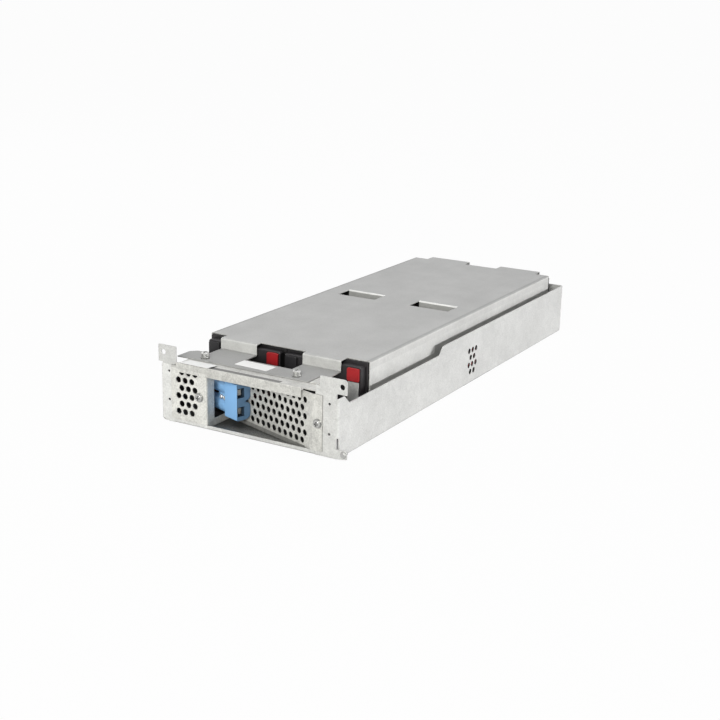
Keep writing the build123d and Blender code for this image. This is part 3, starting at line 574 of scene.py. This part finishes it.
def tray_marks(finish):
    """Painted shade inside the tray where it shows through openings, and painted light on the front left of
    the recess.
    """
    low = CAD_BOX[0]
    gap_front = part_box("battery_container_3")[1].y
    gap_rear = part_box("battery_container_5")[0].y
    gap_left, gap_right = WALLS_INSIDE
    gap_head = 0.048
    panel_low, panel_high = turned_box("vent_bracket", PANEL_TURN)
    behind = panel_back()
    floor_right, floor_rear, floor_head = panel_high.x - 0.022, behind + 0.040, 0.004
    flange_rear, flange_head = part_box("tray")[0].y + 0.004, 0.058
    return [
        # Painted shade between the batteries and on the floor behind the slanted panel.
        Mark((gap_left, gap_front, SHEET_MIDDLE), (gap_right, gap_rear, gap_head), finish.inner_shade),
        Mark(
            (panel_low.x, behind, SHEET_MIDDLE), (floor_right, floor_rear, floor_head),
            finish.inner_shade, PANEL_TURN,
        ),
        # Painted light on the tray's front left of the recess.
        Mark((low.x, low.y, 0.0), (recess_edge(), flange_rear, flange_head), -finish.face_light),
    ]


def cover_marks(finish):
    """Painted shade on the plate, painted shadow on the sides below the top of the walls, a darker line
    along the long folds, painted light on the front flanges and sides, and a painted highlight on the tab
    bends.
    """
    low, high = CAD_BOX
    cover_low, cover_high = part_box("cover")
    lid = cover_high.z
    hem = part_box("front_rail")[1].z
    riser_rear, riser_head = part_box("battery_cover_1")[0].y + 0.002, lid - 0.0006
    wall_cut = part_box("tray")[0].y + WALL_CUT
    tab_low, tab_high = (*TAB_BENDS[0], lid - 0.0017), (*TAB_BENDS[1], lid - 0.0001)
    left, right = cover_low.x + 0.001, cover_high.x - 0.001
    side_head, lower_head = lid - 0.0012, lid - 0.0080
    fold_left, fold_right, fold_foot = cover_low.x + 0.004, cover_high.x - 0.004, lid - 0.0009
    return [
        # Painted shade on the plate.
        Mark((low.x, low.y, 0.0), (high.x, riser_rear, hem), finish.ledge_shade),
        # Painted light on the front flanges.
        Mark((low.x, low.y, hem), (high.x, riser_rear, riser_head), -finish.riser_light),
        # Painted highlight on the tab bends.
        Mark(tab_low, tab_high, -finish.bend_highlight),
        # Painted light on the right side, a quarter more on its lower part.
        Mark((right, riser_rear, 0.0), (high.x, high.y, side_head), -finish.skirt_light),
        Mark((right, riser_rear, 0.0), (high.x, high.y, lower_head), -finish.skirt_light / 4),
        # Painted shadow of the right wall on the side, below the wall's top.
        Mark((right, riser_rear, 0.0), (high.x, wall_cut, WALL_LOW), finish.gap_shadow),
        Mark((right, wall_cut, 0.0), (high.x, high.y, WALL_HIGH), finish.gap_shadow),
        # A darker thin line along the right fold.
        Mark((fold_right, riser_rear, fold_foot), high, finish.fold_darkening),
        # Painted light on the left side.
        Mark((low.x, riser_rear, 0.0), (left, high.y, side_head), -finish.skirt_light),
        # A darker thin line along the left fold.
        Mark((low.x, riser_rear, fold_foot), (fold_left, high.y, high.z), finish.fold_darkening),
    ]


def front_marks(finish):
    """Painted shadow behind the rail's hem, painted shade at the slanted panel's foot, and painted light on
    the face left of the recess.
    """
    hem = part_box("front_rail")[1].z
    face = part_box("tray")[0].y
    groove_low = (-0.046, face + 0.0040, hem - 0.0025)
    groove_high = (0.034, face + 0.0095, hem - 0.0012)
    face_head = hem - 0.006
    panel_low, panel_high = turned_box("vent_bracket", PANEL_TURN)
    behind = panel_back()
    foot_front, foot_right, foot_head = behind - 0.003, panel_high.x - 0.020, 0.0056
    return [
        # Painted shadow on the rail behind the hem.
        Mark(groove_low, groove_high, finish.hem_shadow),
        # Painted light on the bracket's face left of the recess.
        Mark(CAD_BOX[0], (recess_edge(), face, face_head), -finish.face_light),
        # Painted shade on the panel's foot.
        Mark(
            (panel_low.x, foot_front, 0.0), (foot_right, behind, foot_head),
            finish.foot_shade, PANEL_TURN,
        ),
    ]


class CARTRIDGE_OT_sheets(bpy.types.Operator):
    """Galvanised finish of the tray, cover, front rail and vent bracket"""

    bl_idname = "cartridge.sheets"
    bl_label = "Sheet Steel"

    def execute(self, context):
        finish = context.scene.cartridge_finish
        # depth and crease set how much painted shade the front room and the creases get.
        tray = sheet_steel(
            "tray_zinc", finish.tray_steel, finish, spangle=0.10, mottle=0.40, streaks=0.05, speckle=0.45,
            roughness=0.44, metallic=0.2, depth=0.93, marks=tray_marks(finish),
        )
        dress(tray, "tray")
        cover = sheet_steel(
            "cover_zinc", finish.cover_steel, finish, spangle=0.06, mottle=0.45, streaks=0.05, speckle=0.26,
            roughness=0.56, metallic=0.2, crease=0.12, marks=cover_marks(finish),
        )
        dress(cover, "cover")
        front = sheet_steel(
            "front_zinc", finish.front_steel, finish, spangle=0.18, mottle=0.36, streaks=0.04, speckle=0.70,
            roughness=0.44, metallic=0.2, depth=0.15, marks=front_marks(finish),
        )
        dress(front, "front_rail", "vent_bracket")
        return {"FINISHED"}


class CARTRIDGE_OT_fasteners(bpy.types.Operator):
    """Zinc plating on the screws and the stud"""

    bl_idname = "cartridge.fasteners"
    bl_label = "Fasteners"

    def execute(self, context):
        finish = context.scene.cartridge_finish
        plating = {"spangle": 0.05, "mottle": 0.2, "streaks": 0.0, "speckle": 0.2, "roughness": 0.30}
        # crease darkens the screws' creases with painted shade.
        zinc = sheet_steel("screw_zinc", finish.zinc, finish, **plating, metallic=0.85, crease=1.0)
        dress(zinc, "cover_screws", "bracket_screws", "lug_stud")
        # Lighter copy of the zinc: a painted highlight on the connector's screws.
        highlit = sheet_steel(
            "connector_screw_zinc", finish.highlit_zinc, finish, **plating, metallic=0.7, crease=0.4
        )
        dress(highlit, "connector_screws")
        return {"FINISHED"}


class CARTRIDGE_OT_connector(bpy.types.Operator):
    """Blue connector moulding with plated contacts"""

    bl_idname = "cartridge.connector"
    bl_label = "Connector"

    def execute(self, context):
        finish = context.scene.cartridge_finish
        low, high = turned_box("connector_housing", PANEL_TURN)
        contacts_rear = turned_box("connector_contacts", PANEL_TURN)[0].x
        face_skin, overshoot = 0.0002, 0.001
        cavity_skin, cavity_rim = 0.0001, 0.002
        cavity_front, cavity_rear = low.y + 0.0004, low.y + 0.0090
        mating_low = (high.x - face_skin, low.y, low.z)
        mating_high = (high.x + overshoot, high.y, high.z)
        cavities_low = (contacts_rear, cavity_front, low.z + cavity_rim)
        cavities_high = (high.x - cavity_skin, cavity_rear, high.z - cavity_rim)
        blue = moulded(
            "connector_moulding", finish.connector_blue, grain=0.0006, drift=0.18, roughness=0.42,
            relief=0.12, depth=0.1, crease=0.4, reach=0.004,
            marks=[
                # Painted shade on the mating face.
                Mark(mating_low, mating_high, finish.mating_shade, PANEL_TURN),
                # Painted shade in the cavities.
                Mark(cavities_low, cavities_high, finish.cavity_shade, PANEL_TURN),
            ],
        )
        dress(blue, "connector_housing")
        silver = sheet_steel(
            "contact_plating", finish.silver, finish, spangle=0.02, mottle=0.15, streaks=0.1, speckle=0.1,
            roughness=0.28, metallic=0.9,
        )
        dress(silver, "connector_contacts")
        return {"FINISHED"}


class CARTRIDGE_OT_batteries(bpy.types.Operator):
    """Black battery cases and covers with red and black terminal caps"""

    bl_idname = "cartridge.batteries"
    bl_label = "Batteries"

    def execute(self, context):
        finish = context.scene.cartridge_finish
        plastic = finish.battery_black
        case = moulded("battery_case", plastic, grain=0.0007, drift=0.3, roughness=0.50, relief=0.2)
        lid = moulded("battery_lid", plastic, grain=0.0009, drift=0.3, roughness=0.46, relief=0.2)
        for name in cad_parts:
            if name.startswith("battery_container"):
                dress(case, name)
            elif name.startswith("battery_cover"):
                dress(lid, name)
        rubber = {"grain": 0.0005, "drift": 0.2, "relief": 0.1}
        red = moulded("cap_red_rubber", finish.cap_red, **rubber, roughness=0.38)
        dress(red, "positive_terminal_caps")
        black = moulded("cap_black_rubber", finish.cap_black, **rubber, roughness=0.40)
        dress(black, "negative_terminal_caps")
        return {"FINISHED"}


class CARTRIDGE_OT_leads(bpy.types.Operator):
    """Insulation of the power leads and the jumpers"""

    bl_idname = "cartridge.leads"
    bl_label = "Leads"

    def execute(self, context):
        finish = context.scene.cartridge_finish
        low, high = CAD_BOX
        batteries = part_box("battery_cover_1")[0].y
        insulation = {"grain": 0.0006, "drift": 0.2, "relief": 0.1}
        red = moulded(
            "lead_red_cover", finish.lead_red, **insulation, roughness=0.35, depth=0.0,
            marks=[
                # Painted shade on the positive lead in the front room.
                Mark((LEAD_SHADE_END, low.y, low.z), (high.x, batteries, high.z), finish.lead_shade),
                # Painted shade on the red leads in the rear half.
                Mark((low.x, 0.0, low.z), high, finish.jumper_shade),
            ],
        )
        dress(red, "positive_lead", "jumper_leads")
        black = moulded("lead_black_cover", finish.lead_black, **insulation, roughness=0.38)
        dress(black, "negative_lead")
        return {"FINISHED"}


def rounded_outline(width, depth, radii, steps=8):
    """Points round a rectangle, with a radius for each corner from the far right one on."""
    points = []
    corners = ((1, 1), (-1, 1), (-1, -1), (1, -1))
    for turn, ((side, end), radius) in enumerate(zip(corners, radii)):
        middle = Vector((side * (width / 2 - radius), end * (depth / 2 - radius)))
        for step in range(steps + 1):
            angle = math.radians(90 * turn + 90 * step / steps)
            points.append(middle + radius * Vector((math.cos(angle), math.sin(angle))))
    return points


def label_film(name, outline, film, place, turn, pitch, material):
    """Thin film with the outline, stuck on at the place."""
    shape = bmesh.new()
    face = shape.faces.new([shape.verts.new((p.x, p.y, 0.0)) for p in outline])
    raised = bmesh.ops.extrude_face_region(shape, geom=[face])
    bmesh.ops.translate(
        shape, vec=(0, 0, film), verts=[v for v in raised["geom"] if isinstance(v, bmesh.types.BMVert)]
    )
    bmesh.ops.recalc_face_normals(shape, faces=shape.faces)
    stuck = Matrix.Translation(place) @ Matrix.Rotation(turn, 4, "Z") @ Matrix.Rotation(pitch, 4, "X")
    bmesh.ops.transform(shape, matrix=stuck, verts=shape.verts)
    mesh = bpy.data.meshes.new(name)
    shape.to_mesh(mesh)
    shape.free()
    mesh.materials.append(material)
    piece = bpy.data.objects.new(name, mesh)
    bpy.context.scene.collection.objects.link(piece)
    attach(piece, "root")
    return piece


class CARTRIDGE_OT_labels(bpy.types.Operator):
    """Blank white labels on the cover's plate and on the front rail"""

    bl_idname = "cartridge.labels"
    bl_label = "Blank Labels"

    def execute(self, context):
        labels = context.scene.cartridge_labels
        white = context.scene.cartridge_finish.label_white
        film = moulded("label_film", white, grain=0.0012, drift=0.06, roughness=0.42, relief=0.05)
        hem_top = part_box("front_rail")[1].z
        corner, front_corner = labels.corner, labels.front_corner
        label_film(
            "plate_label",
            rounded_outline(*labels.plate_size, (corner, corner, corner, corner)),
            labels.film,
            Vector((*labels.plate_place, hem_top - labels.plate_drop)),
            labels.plate_turn,
            0.0,
            film,
        )
        label_film(
            "rail_label",
            rounded_outline(*labels.rail_size, (corner, corner, front_corner, front_corner)),
            labels.film,
            Vector((*labels.rail_place, hem_top - labels.hem_rise / 2 + labels.film)),
            0.0,
            labels.rail_pitch,
            film,
        )
        return {"FINISHED"}


def seen_or_mirrored(tree, place):
    """1 for rays that come from the camera, a reflection or a transmission."""
    across, up = place
    rays = add_node(tree, "ShaderNodeLightPath", place).outputs
    seen = maths(tree, "MAXIMUM", (across + 200, up), rays["Is Camera Ray"], rays["Is Glossy Ray"])
    return maths(tree, "MAXIMUM", (across + 400, up), seen, rays["Is Transmission Ray"])


def white_sky(scene, strength):
    """Sky that looks white and lights the cartridge with a share of that."""
    world = bpy.data.worlds.new("studio_sky")
    world.use_nodes = True
    scene.world = world
    tree = world.node_tree
    sky = tree.nodes["Background"]
    sky.inputs["Color"].default_value = WHITE
    seen = seen_or_mirrored(tree, (-900, 0))
    level = maths(tree, "MULTIPLY_ADD", (-300, 0), seen, 1.0 - strength, strength)
    tree.links.new(level, sky.inputs["Strength"])


def pale_floor(scene, colour):
    """Floor just under the cartridge that looks almost as white as the sky."""
    half_width, drop, glow_share = 30.0, 0.0004, 0.97
    shape = bmesh.new()
    bmesh.ops.create_grid(shape, x_segments=1, y_segments=1, size=half_width)
    mesh = bpy.data.meshes.new("studio_floor")
    shape.to_mesh(mesh)
    shape.free()
    floor = bpy.data.objects.new("studio_floor", mesh)
    floor.location.z = CAD_BOX[0].z - drop
    scene.collection.objects.link(floor)
    paint, tree, shader = start_material("floor_paint")
    shader.inputs["Base Color"].default_value = (*colour, 1.0)
    shader.inputs["Roughness"].default_value = 0.9
    glow = add_node(tree, "ShaderNodeEmission", (-100, -300))
    glow.inputs["Color"].default_value = WHITE
    blend = add_node(tree, "ShaderNodeMixShader", (300, 0))
    share = maths(tree, "MULTIPLY", (0, 300), seen_or_mirrored(tree, (-700, 300)), glow_share)
    tree.links.new(share, blend.inputs["Fac"])
    tree.links.new(shader.outputs[0], blend.inputs[1])
    tree.links.new(glow.outputs[0], blend.inputs[2])
    tree.links.new(blend.outputs[0], tree.nodes["Material Output"].inputs["Surface"])
    mesh.materials.append(paint)


def area_lamp(name, power, *, colour, size, place):
    """Soft rectangular lamp aimed at the middle of the cartridge."""
    target = Vector((0.0, 0.0, 0.04))
    lamp = bpy.data.lights.new(name, "AREA")
    lamp.energy = power
    lamp.color = colour
    lamp.shape = "RECTANGLE"
    lamp.size = size[0]
    lamp.size_y = size[1]
    stand = bpy.data.objects.new(name, lamp)
    stand.location = place
    stand.rotation_euler = (target - Vector(place)).to_track_quat("-Z", "Y").to_euler()
    bpy.context.scene.collection.objects.link(stand)


def photo_camera(scene, place, turn, lens):
    """Camera that sees the cartridge as the photo does."""
    camera = bpy.data.cameras.new("photo_camera")
    camera.lens = lens
    camera.sensor_width = 36.0
    camera.clip_end = 100.0
    stand = bpy.data.objects.new("photo_camera", camera)
    stand.location = place
    stand.rotation_euler = Euler(turn, "XYZ")
    scene.collection.objects.link(stand)
    scene.camera = stand


class CARTRIDGE_OT_studio(bpy.types.Operator):
    """Pale floor, soft lamps and the camera"""

    bl_idname = "cartridge.studio"
    bl_label = "Studio"

    def execute(self, context):
        scene = context.scene
        studio = scene.cartridge_studio
        scene.view_settings.view_transform = "Standard"
        white_sky(scene, studio.sky)
        pale_floor(scene, studio.floor_colour)
        area_lamp(
            "key_lamp", studio.key_power,
            colour=(1.0, 1.0, 0.985), size=(1.0, 0.25), place=(2.25, 0.45, 0.30),
        )
        area_lamp(
            "front_lamp", studio.front_power,
            colour=(1.0, 1.0, 0.94), size=(0.8, 0.5), place=(0.55, -1.99, 0.80),
        )
        area_lamp(
            "fill_lamp", studio.fill_power,
            colour=(1.0, 1.0, 1.0), size=(1.2, 0.8), place=(-2.3, 0.25, 0.9),
        )
        area_lamp(
            "top_lamp", studio.top_power,
            colour=(0.97, 0.97, 1.0), size=(1.4, 1.4), place=(0.1, 0.1, 2.4),
        )
        photo_camera(scene, studio.camera_place, studio.camera_turn, studio.lens)
        return {"FINISHED"}


class CARTRIDGE_PT_sidebar(bpy.types.Panel):
    """Sidebar list of the cartridge's pieces"""

    bl_idname = "CARTRIDGE_PT_sidebar"
    bl_label = "UPS Battery Cartridge"
    bl_space_type = "VIEW_3D"
    bl_region_type = "UI"
    bl_category = "Cartridge"

    def draw(self, context):
        for operator in OPERATORS:
            self.layout.operator(operator.bl_idname)
        for group in ("cartridge_finish", "cartridge_labels", "cartridge_studio"):
            values = getattr(context.scene, group)
            column = self.layout.column(align=True)
            for name in values.bl_rna.properties.keys():
                if name not in {"rna_type", "name"}:
                    column.prop(values, name)


OPERATORS = (
    CARTRIDGE_OT_sheets,
    CARTRIDGE_OT_fasteners,
    CARTRIDGE_OT_connector,
    CARTRIDGE_OT_batteries,
    CARTRIDGE_OT_leads,
    CARTRIDGE_OT_labels,
    CARTRIDGE_OT_studio,
)
CLASSES = (CartridgeFinish, CartridgeLabels, CartridgeStudio, *OPERATORS, CARTRIDGE_PT_sidebar)


def register():
    for cls in CLASSES:
        bpy.utils.register_class(cls)
    bpy.types.Scene.cartridge_finish = PointerProperty(type=CartridgeFinish)
    bpy.types.Scene.cartridge_labels = PointerProperty(type=CartridgeLabels)
    bpy.types.Scene.cartridge_studio = PointerProperty(type=CartridgeStudio)


def unregister():
    del bpy.types.Scene.cartridge_studio
    del bpy.types.Scene.cartridge_labels
    del bpy.types.Scene.cartridge_finish
    for cls in reversed(CLASSES):
        bpy.utils.unregister_class(cls)


def main():
    register()
    bpy.ops.cartridge.sheets()
    bpy.ops.cartridge.fasteners()
    bpy.ops.cartridge.connector()
    bpy.ops.cartridge.batteries()
    bpy.ops.cartridge.leads()
    bpy.ops.cartridge.labels()
    bpy.ops.cartridge.studio()


if __name__ == "__main__":
    main()
